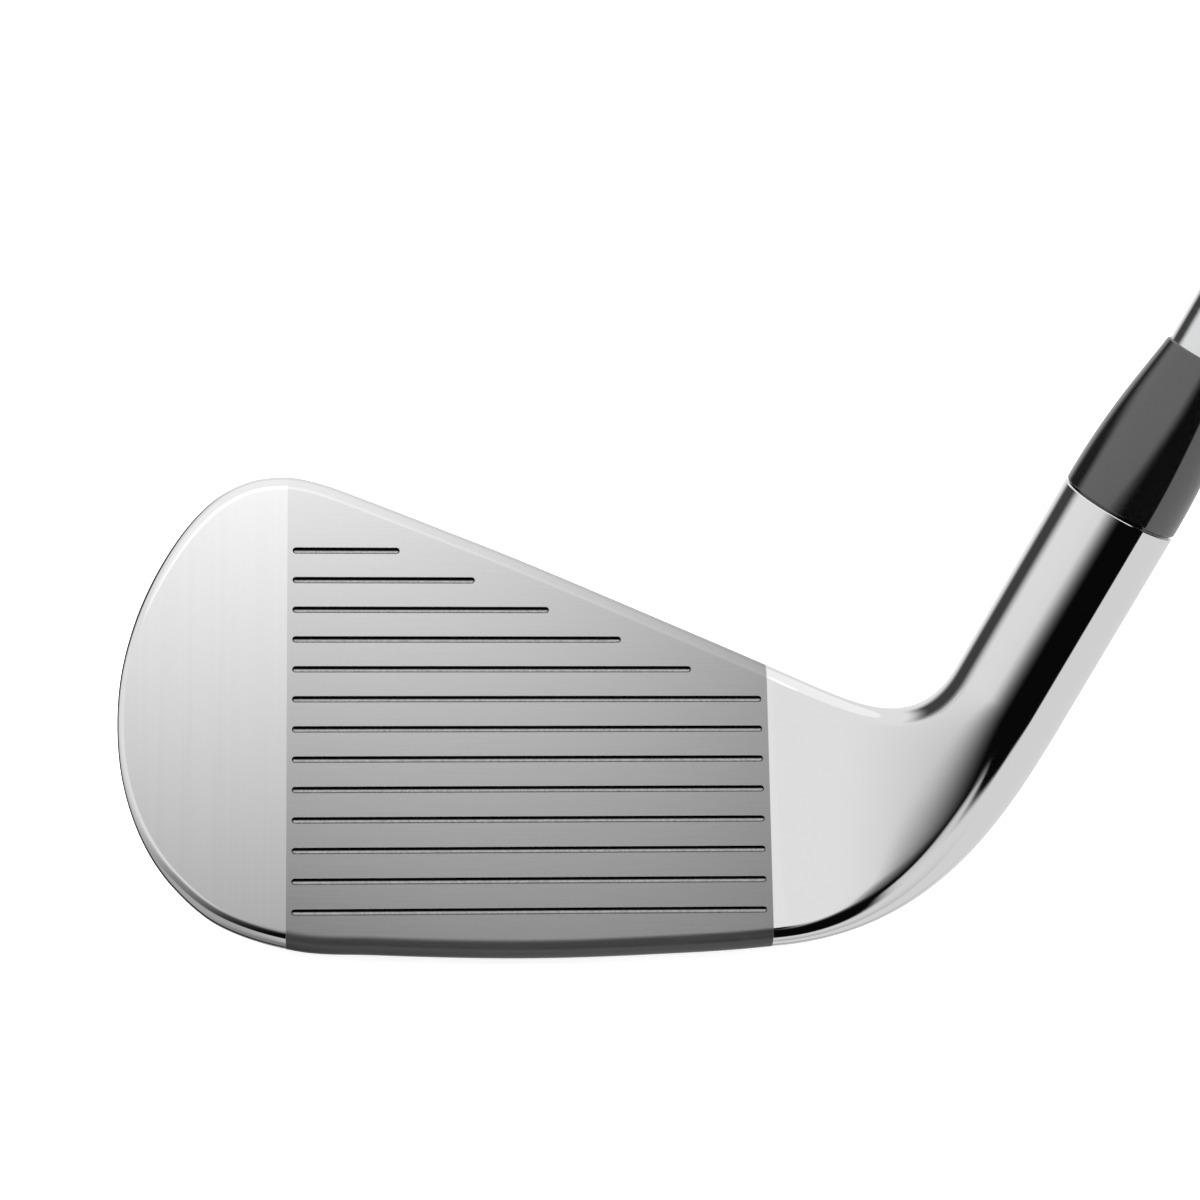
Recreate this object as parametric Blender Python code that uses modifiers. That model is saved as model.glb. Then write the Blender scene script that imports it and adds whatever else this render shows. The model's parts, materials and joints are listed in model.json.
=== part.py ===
"""Right-handed cavity-back iron golf club: bored head, ferrule, stepped steel shaft and rubber grip.

Frame: origin on the flat land of the sole under the middle of the score lines, +X towards the heel,
+Y away from the ball behind the face, +Z up. The face looks towards -Y, and the sole stands on Z = 0.
Lengths below are in millimetres and angles in degrees; mesh data is written in metres.
"""
import math

import bmesh
import bpy
from mathutils import Matrix, Vector

MM = 0.001
GAP = 0.3
SHARP_ANGLE = 30.0

# Head: driving angles and places
LOFT = 31.0
LIE = 64.0
FACE_Y = -10.2
FACE_Z = 3.61
BLADE_END = 29.0
HOSEL_FOOT = (38.48, -7.0, 0.0)
HOSEL_R = 6.85
NECK_TOP = 36.5
RIM = 61.8
RIM_CHAMFER = 0.4
BORE_R = 5.0
BORE_FOOT = 30.0

# Blade outline in the face plane (heelwards, upwards), from the heel end of the topline round the toe
OUTLINE = (
    (BLADE_END, 32.7), (24.0, 34.9), (20.0, 36.65), (0.0, 45.3), (-12.0, 50.15), (-19.5, 53.1),
    (-24.5, 54.9), (-28.5, 55.6), (-33.0, 54.95), (-37.2, 52.5), (-41.3, 47.6), (-45.0, 40.5),
    (-47.2, 33.0), (-47.8, 26.0), (-47.05, 18.8), (-44.75, 12.1), (-41.1, 6.7), (-35.6, 2.2),
    (-27.0, -0.6), (-18.0, -1.15), (-5.0, -1.6), (5.0, -1.6), (18.0, -1.15), (24.0, -0.82), (BLADE_END, -0.4),
)
OUTLINE_STEPS = 3

# Wall section round the outline: (toe, topline, sole) values, and how soon it counts as sole or topline
SOLE_BLEND = (1.15, 0.1)
TOP_BLEND = (1.25, 0.15)
SLIDE_BLEND = (2.0, -0.3)
FRONT_RADIUS = (1.1, 1.9, 2.1)
BACK_RADIUS = (1.6, 1.2, 1.8)
WALL_LEAD = (3.6, 0.9, 8.3)
WALL_LAND = (1.0, 0.4, 3.4)
WALL_TRAIL = (3.4, 0.8, 5.2)
WALL_START = (2.0, 2.0, LOFT - 12.0)
WALL_MIDDLE = (2.0, 2.0, LOFT)
WALL_END = (6.0, 4.0, LOFT + 10.0)
BACK_SLOPE = (96.0, 91.0, LOFT + 88.0)
BACK_LAND = (6.0, 4.6, 11.5)
ARC_STEPS = 5
BACK_ARC_STEPS = 3
WALL_STEPS = 2
FACE_STEPS = 6
BACK_STEPS = 4

# Neck: where each corner of the blade's end section meets the hosel, in degrees round it from the front
NECK_STEPS = 12
HOSEL_ANGLES = (-62.7, -98.0, -130.0, -150.0, -165.0, 172.0, 140.0, 118.0, 65.3, 3.7)
FACE_SPREAD = 0.86
NECK_PULL_TOP = (34.7, 28.1)
NECK_PULL_SOLE = (55.6, 42.9)
NECK_FRONT_ANGLE = -19.0
NECK_FRONT_REACH = 60.0
NECK_FRONT_EASE = 0.17

# Score lines
GROOVE_COUNT = 13
GROOVE_PITCH = 3.556
GROOVE_TOP = 46.3
GROOVE_TOE_END = -27.6
GROOVE_HEEL_END = 27.6
GROOVE_SHORT_SPACE = 5.04
GROOVE_WIDTH = 0.8
GROOVE_FLOOR = 0.45
GROOVE_DEPTH = 0.42
GROOVE_RISE = 0.05
GROOVE_END_STEPS = 4

# Cavity in the back, in the face plane, and what is bonded in it
CAVITY = (
    (22.0, 30.0), (14.0, 33.8), (0.0, 39.9), (-14.0, 45.8), (-24.0, 49.6), (-31.5, 49.8), (-37.6, 45.0), (-41.2, 37.5),
    (-41.9, 30.0), (-39.0, 23.6), (-32.0, 20.4), (-15.0, 19.2), (5.0, 19.2), (18.0, 20.2), (24.0, 23.0), (25.0, 27.0),
)
CAVITY_STEPS = 3
CAVITY_FLOOR = 3.2
CAVITY_TOP = 22.0
CAVITY_FLARE = 2.6
PAD_INSET = 3.2
PAD_THICK = 0.8
BADGE_INSET = 2.6
BADGE_THICK = 1.4

# Tungsten plug in the back of the toe end of the sole, with its axis along Y
WEIGHT_PLACE = (-27.5, 7.0)
WEIGHT_R = 3.4
WEIGHT_START = 2.3
WEIGHT_END = 10.1

# Ferrule
FERRULE_LENGTH = 19.0
FERRULE_BEND = 13.0
FERRULE_CURVE = 0.00574
FERRULE_STEPS = 8

# Shaft: stepped steel tube
SHAFT_TIP_R = 4.7
SHAFT_BUTT_R = 7.62
SHAFT_WALL = 0.45
SHAFT_TIP = 31.5
SHAFT_BUTT = 936.0
FIRST_STEP = 260.0
STEP_SPACE = 38.0
STEP_COUNT = 12
STEP_RUN = 2.0
TIP_PLUG_LENGTH = 16.0
TIP_PLUG_RISE = 1.0
ROUND_STEPS = 32

# Grip
GRIP_OUTSIDE = ((266.0, 13.2), (239.0, 12.8), (160.0, 11.6), (80.0, 10.4), (6.0, 9.3), (0.0, 8.9))
CAP_R = 13.6
CAP_THICK = 4.0
CAP_ROUND = 1.6
CAP_BEVEL = 0.5
TAPE_THICK = 0.3
TAPE_BARE_FOOT = 4.0
TAPE_BARE_BUTT = 2.0
VENT_R = 1.5


def direction(angle):
    """Unit pair (cosine, sine) of an angle in degrees."""
    turn = math.radians(angle)
    return math.cos(turn), math.sin(turn)


FACE_UP = Vector((0.0, direction(LOFT)[1], direction(LOFT)[0]))
FACE_BACK = Vector((0.0, direction(LOFT)[0], -direction(LOFT)[1]))
HOSEL_UP = Vector((direction(LIE)[0], 0.0, direction(LIE)[1]))
HOSEL_TOE = Vector((-direction(LIE)[1], 0.0, direction(LIE)[0]))
FRONT = Vector((0.0, -1.0, 0.0))


def on_face(across, up, depth):
    """Point at a place in the face plane and a depth behind it."""
    base = Vector((across, FACE_Y, FACE_Z))
    return base + FACE_UP * up + FACE_BACK * depth


def on_hosel(along, radius, angle):
    """Point at a distance up the hosel axis, a radius and an angle round it from the front to the heel."""
    cosine, sine = direction(angle)
    centre = Vector(HOSEL_FOOT) + HOSEL_UP * along
    return centre + (FRONT * cosine - HOSEL_TOE * sine) * radius


def smooth_step(value):
    """0 below 0, 1 above 1 and an S-curve between."""
    value = min(max(value, 0.0), 1.0)
    return value * value * (3.0 - 2.0 * value)


def spline(points, steps, closed=False):
    """Places and tangents on a Catmull-Rom curve through the points."""
    count = len(points)
    spans = count if closed else count - 1
    result = []
    for span in range(spans):
        last = span == spans - 1 and not closed
        for step in range(steps + (1 if last else 0)):
            corners = []
            for shift in (-1, 0, 1, 2):
                index = span + shift
                index = index % count if closed else min(max(index, 0), count - 1)
                corners.append(Vector(points[index]))
            result.append(spline_point(corners, step / steps))
    return result


def spline_point(corners, part):
    """Place and unit tangent a part of the way along the middle span of four corners."""
    before, start, end, after = corners
    leave = (end - before) * tangent_share(start - before, end - start)
    arrive = (after - start) * tangent_share(after - end, end - start)
    square, cube = part * part, part ** 3
    place = start * (2 * cube - 3 * square + 1) + leave * (cube - 2 * square + part)
    place += end * (3 * square - 2 * cube) + arrive * (cube - square)
    slope = (end - start) * (6 * part - 6 * square) + leave * (3 * square - 4 * part + 1)
    slope += arrive * (3 * square - 2 * part)
    return place, slope.normalized()


def tangent_share(outer, inner):
    """Share of the chord across two spans that keeps the curve even where their lengths differ."""
    return inner.length / (inner.length + outer.length)


def blend(values, sole, top):
    """Mix of the toe, topline and sole values of a size."""
    toe_value, top_value, sole_value = values
    return toe_value + (sole_value - toe_value) * sole + (top_value - toe_value) * top


def wall_section(outward):
    """Offsets (outwards, backwards) of the blade's wall where the outline faces a given way."""
    sole = smooth_step(-outward.y * SOLE_BLEND[0] - SOLE_BLEND[1])
    top = smooth_step(outward.y * TOP_BLEND[0] - TOP_BLEND[1])
    front = blend(FRONT_RADIUS, sole, top)
    angles = [blend(values, sole, top) for values in (WALL_START, WALL_MIDDLE, WALL_END, BACK_SLOPE)]
    lengths = [blend(values, sole, top) for values in (WALL_LEAD, WALL_LAND, WALL_TRAIL, BACK_LAND)]
    back = blend(BACK_RADIUS, sole, top)
    path = [Vector((-front, 0.0))]
    turn_path(path, -90.0, angles[0], front * math.radians(angles[0] + 90.0), ARC_STEPS)
    turn_path(path, angles[0], angles[1], lengths[0], WALL_STEPS)
    turn_path(path, angles[1], angles[1], lengths[1], 1)
    turn_path(path, angles[1], angles[2], lengths[2], WALL_STEPS)
    turn_path(path, angles[2], angles[3], back * math.radians(angles[3] - angles[2]), BACK_ARC_STEPS)
    turn_path(path, angles[3], angles[3], lengths[3], WALL_STEPS)
    return path


def turn_path(path, start, end, length, steps):
    """Add points to a path that turns evenly from one heading to another over a length."""
    for step in range(steps):
        heading = start + (end - start) * (step + 0.5) / steps
        cosine, sine = direction(heading)
        half_turn = math.radians(end - start) / steps / 2.0
        chord = length / steps * (math.sin(half_turn) / half_turn if abs(half_turn) > 1e-9 else 1.0)
        path.append(path[-1] + Vector((-sine, cosine)) * chord)


def blade_paths():
    """Wall section points at each place round the outline, as solid points."""
    paths = []
    for place, tangent in spline(OUTLINE, OUTLINE_STEPS):
        outward = Vector((tangent.y, -tangent.x))
        slide = tangent * tangent.y * math.tan(math.radians(LOFT))
        slide *= 1.0 - smooth_step(outward.y * SLIDE_BLEND[0] - SLIDE_BLEND[1])
        path = []
        for offset in wall_section(outward):
            flat = place + outward * offset.x + slide * offset.y
            path.append(on_face(flat.x, flat.y, offset.y))
        paths.append(path)
    return paths


def between(start, end, steps):
    """Points inside the straight line from start to end."""
    return [start.lerp(end, step / steps) for step in range(1, steps)]


def add_grid(mesh, rows):
    """Faces between neighbouring rows of vertices."""
    for first, second in zip(rows, rows[1:]):
        for index in range(len(first) - 1):
            mesh.faces.new((first[index], first[index + 1], second[index + 1], second[index]))


def add_vertices(mesh, points):
    """New vertices at points given in millimetres."""
    return [mesh.verts.new(point * MM) for point in points]


def loop_angles(counts):
    """Hosel angle of each vertex of the blade's end loop, spread between its corners."""
    angles = []
    corners = list(HOSEL_ANGLES) + [HOSEL_ANGLES[0]]
    spreads = [1.0] * (len(counts) - 1) + [FACE_SPREAD]
    for start, end, count, spread in zip(corners, corners[1:], counts, spreads):
        turn = (end - start) % 360.0 - 360.0
        for step in range(count):
            angles.append(start + turn * (step / count) ** spread)
    return angles


def front_share(angle):
    """1 on the front of the neck, falling smoothly to 0 on its sides."""
    away = abs((angle - NECK_FRONT_ANGLE + 180.0) % 360.0 - 180.0)
    return smooth_step(1.0 - away / NECK_FRONT_REACH)


def neck_point(start, heading, angle, part):
    """Point on the smooth run from the blade's end section up to the hosel."""
    toe_side = (1.0 + direction(angle + 90.0)[0]) / 2.0
    pulls = [low + (high - low) * toe_side for low, high in zip(NECK_PULL_SOLE, NECK_PULL_TOP)]
    pulls[0] *= 1.0 - NECK_FRONT_EASE * front_share(angle)
    end = on_hosel(NECK_TOP, HOSEL_R, angle)
    square, cube = part * part, part ** 3
    place = start * (2 * cube - 3 * square + 1) + heading * pulls[0] * (cube - 2 * square + part)
    return place + end * (3 * square - 2 * cube) + HOSEL_UP * pulls[1] * (cube - square)


def build_head():
    """Closed body of the head: blade walls, face, back, neck, hosel and its bore."""
    mesh = bmesh.new()
    paths = blade_paths()
    rows = [add_vertices(mesh, path) for path in paths]
    add_grid(mesh, rows)
    face_line = add_vertices(mesh, between(paths[-1][0], paths[0][0], FACE_STEPS))
    mesh.faces.new([row[0] for row in rows] + face_line)
    bridges = []
    for station in range(len(rows) // 2):
        inside = add_vertices(mesh, between(paths[station][-1], paths[-1 - station][-1], BACK_STEPS))
        bridges.append([rows[station][-1]] + inside + [rows[-1 - station][-1]])
    add_grid(mesh, bridges)
    mesh.faces.new(bridges[-1] + [rows[len(rows) // 2][-1]])
    loop = rows[0] + bridges[0][1:-1] + rows[-1][::-1] + face_line
    add_neck(mesh, loop)
    bmesh.ops.recalc_face_normals(mesh, faces=mesh.faces)
    return mesh


def add_neck(mesh, loop):
    """Loft from the blade's end loop into the hosel, over its rim and down its bore."""
    half = (ARC_STEPS, 2 * WALL_STEPS + 1, BACK_ARC_STEPS, WALL_STEPS)
    angles = loop_angles(half + (BACK_STEPS,) + half[::-1] + (FACE_STEPS,))
    starts = [vertex.co / MM for vertex in loop]
    top_heading = (Vector(OUTLINE[0]) - Vector(OUTLINE[1])).normalized()
    sole_heading = (Vector(OUTLINE[-1]) - Vector(OUTLINE[-2])).normalized()
    rings = [loop]
    for step in range(1, NECK_STEPS + 1):
        ring = []
        for start, angle in zip(starts, angles):
            share = (start.z - starts[-FACE_STEPS].z) / (starts[0].z - starts[-FACE_STEPS].z)
            flat = sole_heading.lerp(top_heading, min(max(share, 0.0), 1.0))
            heading = Vector((flat.x, 0.0, 0.0)) + FACE_UP * flat.y
            ring.append(neck_point(start, heading, angle, step / NECK_STEPS))
        rings.append(add_vertices(mesh, ring))
    rim = ((RIM - RIM_CHAMFER, HOSEL_R), (RIM, HOSEL_R - RIM_CHAMFER), (RIM, BORE_R + RIM_CHAMFER),
           (RIM - RIM_CHAMFER, BORE_R), (BORE_FOOT, BORE_R))
    for along, radius in rim:
        rings.append(add_vertices(mesh, [on_hosel(along, radius, angle) for angle in angles]))
    add_grid(mesh, [ring + ring[:1] for ring in rings])
    mesh.faces.new(rings[-1])


def prism(outer, inner, start, end):
    """Closed body between two like outlines in the face plane, at two depths."""
    mesh = bmesh.new()
    low = add_vertices(mesh, [on_face(place.x, place.y, start) for place in outer])
    high = add_vertices(mesh, [on_face(place.x, place.y, end) for place in inner])
    add_grid(mesh, [low + low[:1], high + high[:1]])
    mesh.faces.new(low)
    mesh.faces.new(high)
    bmesh.ops.recalc_face_normals(mesh, faces=mesh.faces)
    return mesh


def inset_outline(points, inset):
    """Closed spline through the points, moved inwards."""
    places = []
    for place, tangent in spline(points, CAVITY_STEPS, closed=True):
        places.append(place + Vector((-tangent.y, tangent.x)) * inset)
    return places


def groove_outline(toe_end, heel_end, height, width):
    """Long slot with round ends in the face plane."""
    places = []
    for centre, start in ((heel_end - width / 2.0, -90.0), (toe_end + width / 2.0, 90.0)):
        for step in range(GROOVE_END_STEPS + 1):
            cosine, sine = direction(start + 180.0 * step / GROOVE_END_STEPS)
            places.append(Vector((centre + cosine * width / 2.0, height + sine * width / 2.0)))
    return places


def groove_heel_end(height):
    """Heel end of a score line, which stops short of the topline on the upper ones."""
    top, bottom = Vector(OUTLINE[0]), Vector(OUTLINE[4])
    slope = (bottom.y - top.y) / (bottom.x - top.x)
    reach = top.x + (height + GROOVE_SHORT_SPACE - top.y) / slope
    return min(GROOVE_HEEL_END, reach)


def new_object(name, mesh, collection, material=None):
    """Object from a bmesh, shaded smooth up to sharp edges."""
    data = bpy.data.meshes.new(name)
    mesh.to_mesh(data)
    mesh.free()
    data.shade_smooth()
    data.set_sharp_from_angle(angle=math.radians(SHARP_ANGLE))
    if material:
        data.materials.append(material)
    item = bpy.data.objects.new(name, data)
    collection.objects.link(item)
    return item


def new_cutter(name, mesh, collection):
    """Hidden object that cuts others."""
    item = new_object(name, mesh, collection)
    item.hide_render = True
    item.display_type = 'WIRE'
    return item


def rod(place, radius, start, end):
    """Closed round bar along Y between two places."""
    mesh = bmesh.new()
    turn = Matrix.Rotation(math.radians(90.0), 4, 'X')
    shift = Matrix.Translation(Vector((place[0], (start + end) / 2.0, place[1])) * MM)
    bmesh.ops.create_cone(mesh, cap_ends=True, segments=ROUND_STEPS, radius1=radius * MM, radius2=radius * MM,
                          depth=(end - start) * MM, matrix=shift @ turn)
    return mesh


def cut(item, cutter):
    """Subtract a cutter from an object."""
    modifier = item.modifiers.new(cutter.name, 'BOOLEAN')
    modifier.operation = 'DIFFERENCE'
    modifier.solver = 'EXACT'
    modifier.object = cutter


def bake_cuts(item):
    """Turn an object's cuts into its mesh, with crisp edges and flat faces that shade flat."""
    graph = bpy.context.evaluated_depsgraph_get()
    data = bpy.data.meshes.new_from_object(item.evaluated_get(graph))
    item.modifiers.clear()
    item.data = data
    data.set_sharp_from_angle(angle=math.radians(SHARP_ANGLE))
    normals = item.modifiers.new('Flat face normals', 'WEIGHTED_NORMAL')
    normals.keep_sharp = True


def turned(name, profile, start, collection, material, steps=ROUND_STEPS):
    """Body turned about the hosel axis from a closed (radius, along) profile, top first down its outside."""
    data = bpy.data.meshes.new(name)
    points = [(radius * MM, 0.0, along * MM) for radius, along in profile]
    count = len(points)
    edges = [(index, (index + 1) % count) for index in range(count)]
    data.from_pydata(points, edges, [])
    data.materials.append(material)
    item = bpy.data.objects.new(name, data)
    collection.objects.link(item)
    screw = item.modifiers.new('Turn', 'SCREW')
    screw.steps = steps
    screw.render_steps = steps
    screw.use_merge_vertices = True
    screw.merge_threshold = 0.00001
    screw.use_smooth_shade = True
    item.rotation_euler = (0.0, math.radians(90.0 - LIE), 0.0)
    item.location = (Vector(HOSEL_FOOT) + HOSEL_UP * start) * MM
    return item


def tube_profile(outside, wall):
    """Closed profile of a tube from its outside points, top first."""
    return list(outside) + [(radius - wall, along) for radius, along in reversed(outside)]


def new_material(name, colour, roughness, metallic):
    """Principled material."""
    material = bpy.data.materials.new(name)
    material.use_nodes = True
    shader = material.node_tree.nodes['Principled BSDF']
    shader.inputs['Base Color'].default_value = (*colour, 1.0)
    shader.inputs['Roughness'].default_value = roughness
    shader.inputs['Metallic'].default_value = metallic
    material.diffuse_color = (*colour, 1.0)
    return material


def make_head(parts, cutters):
    """Head with its score lines, back cavity and weight pocket cut in."""
    chrome = new_material('head_chrome', (0.78, 0.79, 0.8), 0.12, 1.0)
    head = new_object('head_body', build_head(), parts, chrome)
    cavity = prism(inset_outline(CAVITY, 0.0), inset_outline(CAVITY, -CAVITY_FLARE), CAVITY_FLOOR, CAVITY_TOP)
    cut(head, new_cutter('cavity_cutter', cavity, cutters))
    pocket = rod(WEIGHT_PLACE, WEIGHT_R + GAP, WEIGHT_START - GAP, CAVITY_TOP)
    cut(head, new_cutter('weight_cutter', pocket, cutters))
    for index in range(GROOVE_COUNT):
        height = GROOVE_TOP - GROOVE_PITCH * index
        heel_end = groove_heel_end(height)
        mouth = groove_outline(GROOVE_TOE_END, heel_end, height, GROOVE_WIDTH)
        floor = groove_outline(GROOVE_TOE_END, heel_end, height, GROOVE_FLOOR)
        slot = prism(mouth, floor, -GROOVE_RISE, GROOVE_DEPTH)
        cut(head, new_cutter('groove_cutter_%02d' % (index + 1), slot, cutters))
    bake_cuts(head)
    return head


def shaft_radius(along):
    """Outside radius of the stepped shaft at a distance up its axis."""
    step = (SHAFT_BUTT_R - SHAFT_TIP_R) / STEP_COUNT
    passed = math.floor((along - FIRST_STEP) / STEP_SPACE) + 1
    return SHAFT_TIP_R + step * min(max(passed, 0), STEP_COUNT)


def shaft_outside():
    """Outside points of the shaft, butt first."""
    points = [(SHAFT_BUTT_R, SHAFT_BUTT)]
    for index in reversed(range(STEP_COUNT)):
        along = FIRST_STEP + STEP_SPACE * index
        points.append((shaft_radius(along + 1.0), along + STEP_RUN))
        points.append((shaft_radius(along - 1.0), along))
    points.append((SHAFT_TIP_R, SHAFT_TIP))
    return points


def ferrule_radius(along):
    """Outside radius of the ferrule above the hosel rim: a curve, then a straight taper."""
    curve = FERRULE_CURVE * min(along, FERRULE_BEND) ** 2
    return HOSEL_R - curve - 2.0 * FERRULE_CURVE * FERRULE_BEND * max(along - FERRULE_BEND, 0.0)


def make_shaft_parts(parts):
    """Ferrule, shaft and the plug in its tip."""
    black = new_material('ferrule_black', (0.01, 0.01, 0.012), 0.12, 0.0)
    steel = new_material('shaft_steel', (0.72, 0.73, 0.75), 0.1, 1.0)
    brass = new_material('plug_brass', (0.6, 0.45, 0.2), 0.35, 1.0)
    hole = SHAFT_TIP_R + GAP
    rises = [FERRULE_LENGTH * step / FERRULE_STEPS for step in range(FERRULE_STEPS, -1, -1)]
    outside = [(ferrule_radius(rise), rise) for rise in rises]
    turned('ferrule', outside + [(hole, 0.0), (hole, FERRULE_LENGTH)], RIM + GAP, parts, black)
    turned('shaft', tube_profile(shaft_outside(), SHAFT_WALL), 0.0, parts, steel)
    plug_r = SHAFT_TIP_R - SHAFT_WALL - GAP
    plug = [(0.0, TIP_PLUG_LENGTH), (plug_r, TIP_PLUG_LENGTH), (plug_r, 0.0), (0.0, 0.0)]
    turned('tip_plug', plug, SHAFT_TIP + TIP_PLUG_RISE, parts, brass)


def make_grip_parts(parts):
    """Rubber grip, the tape under it and its butt cap."""
    rubber = new_material('grip_rubber', (0.02, 0.02, 0.02), 0.7, 0.0)
    tape = new_material('grip_tape', (0.75, 0.72, 0.62), 0.8, 0.0)
    length = GRIP_OUTSIDE[0][0]
    foot = SHAFT_BUTT - length
    wound = SHAFT_BUTT_R + GAP + TAPE_THICK
    ends = ((wound, SHAFT_BUTT - TAPE_BARE_BUTT), (wound, foot + TAPE_BARE_FOOT))
    turned('grip_tape', tube_profile(ends, TAPE_THICK), 0.0, parts, tape)
    hole = wound + GAP
    outside = [(radius, along) for along, radius in GRIP_OUTSIDE]
    turned('grip', outside + [(hole, 0.0), (hole, length)], foot, parts, rubber)
    cap = [(CAP_R - CAP_ROUND, CAP_THICK), (CAP_R - CAP_BEVEL, CAP_THICK - CAP_BEVEL),
           (CAP_R, CAP_THICK - CAP_ROUND), (CAP_R, 0.0), (VENT_R, 0.0), (VENT_R, CAP_THICK)]
    turned('butt_cap', cap, SHAFT_BUTT + GAP, parts, rubber)


def make_cavity_parts(parts):
    """Tungsten plug, and the damping pad and badge plate bonded to the cavity floor."""
    tungsten = new_material('weight_tungsten', (0.35, 0.35, 0.36), 0.3, 1.0)
    new_object('toe_weight', rod(WEIGHT_PLACE, WEIGHT_R, WEIGHT_START, WEIGHT_END), parts, tungsten)
    pad_black = new_material('pad_foam', (0.03, 0.03, 0.03), 0.9, 0.0)
    plate = new_material('badge_plate', (0.08, 0.08, 0.09), 0.35, 0.9)
    outline = inset_outline(CAVITY, PAD_INSET)
    start = CAVITY_FLOOR + GAP
    new_object('badge_pad', prism(outline, outline, start, start + PAD_THICK), parts, pad_black)
    outline = inset_outline(CAVITY, BADGE_INSET)
    start += PAD_THICK + GAP
    new_object('cavity_badge', prism(outline, outline, start, start + BADGE_THICK), parts, plate)


def main():
    """Build the club in an empty scene."""
    for item in list(bpy.data.objects):
        bpy.data.objects.remove(item, do_unlink=True)
    parts = bpy.data.collections.new('iron_golf_club')
    cutters = bpy.data.collections.new('cutters')
    bpy.context.scene.collection.children.link(parts)
    bpy.context.scene.collection.children.link(cutters)
    make_head(parts, cutters)
    make_cavity_parts(parts)
    make_shaft_parts(parts)
    make_grip_parts(parts)


main()
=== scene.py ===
"""Looks of the iron golf club: fine meshes, materials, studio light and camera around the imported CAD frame.

Lengths are in millimetres and angles in degrees, in the frame's own axes: +X towards the heel, +Y behind
the face, +Z up, with the sole on Z = 0. Mesh data is written in metres.
"""
import json
import math

import bmesh
import bpy
from mathutils import Matrix, Vector
from mathutils.bvhtree import BVHTree


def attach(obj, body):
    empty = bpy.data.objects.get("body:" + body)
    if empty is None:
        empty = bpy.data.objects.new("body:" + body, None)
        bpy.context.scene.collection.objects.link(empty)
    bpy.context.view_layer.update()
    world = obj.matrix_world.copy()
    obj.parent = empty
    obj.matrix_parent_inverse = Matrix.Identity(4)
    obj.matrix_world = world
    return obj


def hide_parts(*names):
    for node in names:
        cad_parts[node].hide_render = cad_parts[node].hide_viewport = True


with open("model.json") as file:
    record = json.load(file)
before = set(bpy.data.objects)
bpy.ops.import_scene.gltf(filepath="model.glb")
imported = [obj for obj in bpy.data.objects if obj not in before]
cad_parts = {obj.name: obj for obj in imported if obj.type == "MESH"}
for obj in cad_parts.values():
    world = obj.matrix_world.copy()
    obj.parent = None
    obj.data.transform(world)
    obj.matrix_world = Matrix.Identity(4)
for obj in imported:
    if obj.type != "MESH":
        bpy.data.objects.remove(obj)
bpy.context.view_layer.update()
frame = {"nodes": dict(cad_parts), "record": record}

MM = 0.001
SHARP_ANGLE = 30.0
ROUND_STEPS = 128
WEIGHT_FIT = 0.06
MOUNTS = {mount["name"]: mount for mount in frame["record"]["mounts"]}
FACE_NORMAL = Vector(MOUNTS["strike_face"]["axis"]).normalized()
LOFT = math.degrees(math.asin(FACE_NORMAL.z))
HOSEL_UP = Vector(MOUNTS["butt_rest"]["axis"]).normalized()

# Camera
CAMERA_PLACE = (-23.42, -337.71, 157.65)
CAMERA_AZIMUTH = 5.256
CAMERA_DOWN = 18.85
CAMERA_ROLL = 1.80
CAMERA_LENS = 93.74

# Studio: light zones by bearing from the front (to the heel positive) and by rise above the horizon.
# An edge or a blur is a curve through pairs of angles. A span is where a zone fades in or out.
DARK_LEFT_EDGE = (
    (-90.0, -90.0), (-20.0, -80.0), (-5.0, -45.0), (5.0, -28.0), (16.0, -2.0), (22.0, 0.0), (28.0, 35.0),
    (34.0, 60.0), (90.0, 60.0),
)
DARK_LEFT_BLUR = ((-90.0, 60.0), (-20.0, 60.0), (0.0, 36.0), (14.0, 20.0), (22.0, 8.0), (90.0, 5.0))
LEFT_LEVEL = 0.93
LEFT_LOW_SPAN = (-60.0, 28.0)
LEFT_LOW_SHARE = 0.3
CEILING_SPAN = (42.0, 47.0)
CEILING_LEVEL = 1.1
LAMP_FOOT_SPAN = (41.0, 55.0)
LAMP_TOP_SPAN = (56.0, 66.0)
LAMP_LEFT_SPAN = (-25.0, -8.0)
LAMP_RIGHT_SPAN = (-15.0, 40.0)
LAMP_LEVEL = 0.6
FILL_FOOT_SPAN = (31.0, 34.0)
FILL_LEFT_SPAN = (1.5, 4.0)
FILL_RIGHT_SPAN = (25.0, 40.0)
FILL_LEVEL = 0.95
TABLE_EDGE = (
    (-180.0, -30.0), (-60.0, -28.0), (-12.0, -28.0), (16.0, -40.0), (28.0, -36.0), (36.0, -29.0),
    (42.0, -15.0), (60.0, -10.0), (180.0, -10.0),
)
TABLE_BLUR = 3.0
TABLE_LEVEL = 0.8
TABLE_NEAR_SPAN = (-70.0, -45.0)
TABLE_LEFT_SPAN = (-40.0, 10.0)
TABLE_DIM_SHARE = 0.55
RIGHT_EDGE_SPAN = (37.0, 40.0)
RIGHT_TOP_SPAN = (-10.0, 20.0)
RIGHT_END_SPAN = (100.0, 165.0)
RIGHT_LEVEL = 0.8
RIGHT_END_SHARE = 0.1
BACKLIGHT_SIDE_SPAN = (120.0, 142.0)
BACKLIGHT_FOOT_SPAN = (-25.0, -12.0)
BACKLIGHT_LEVEL = 0.9
SCREEN_START_SPAN = (-168.0, -146.0)
SCREEN_END_SPAN = (-126.0, -102.0)
SCREEN_TOP_SPAN = (16.0, 30.0)
SCREEN_SHARE = 0.93
DARKEST = 0.003
ROOM_LIGHT = 2.2

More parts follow.
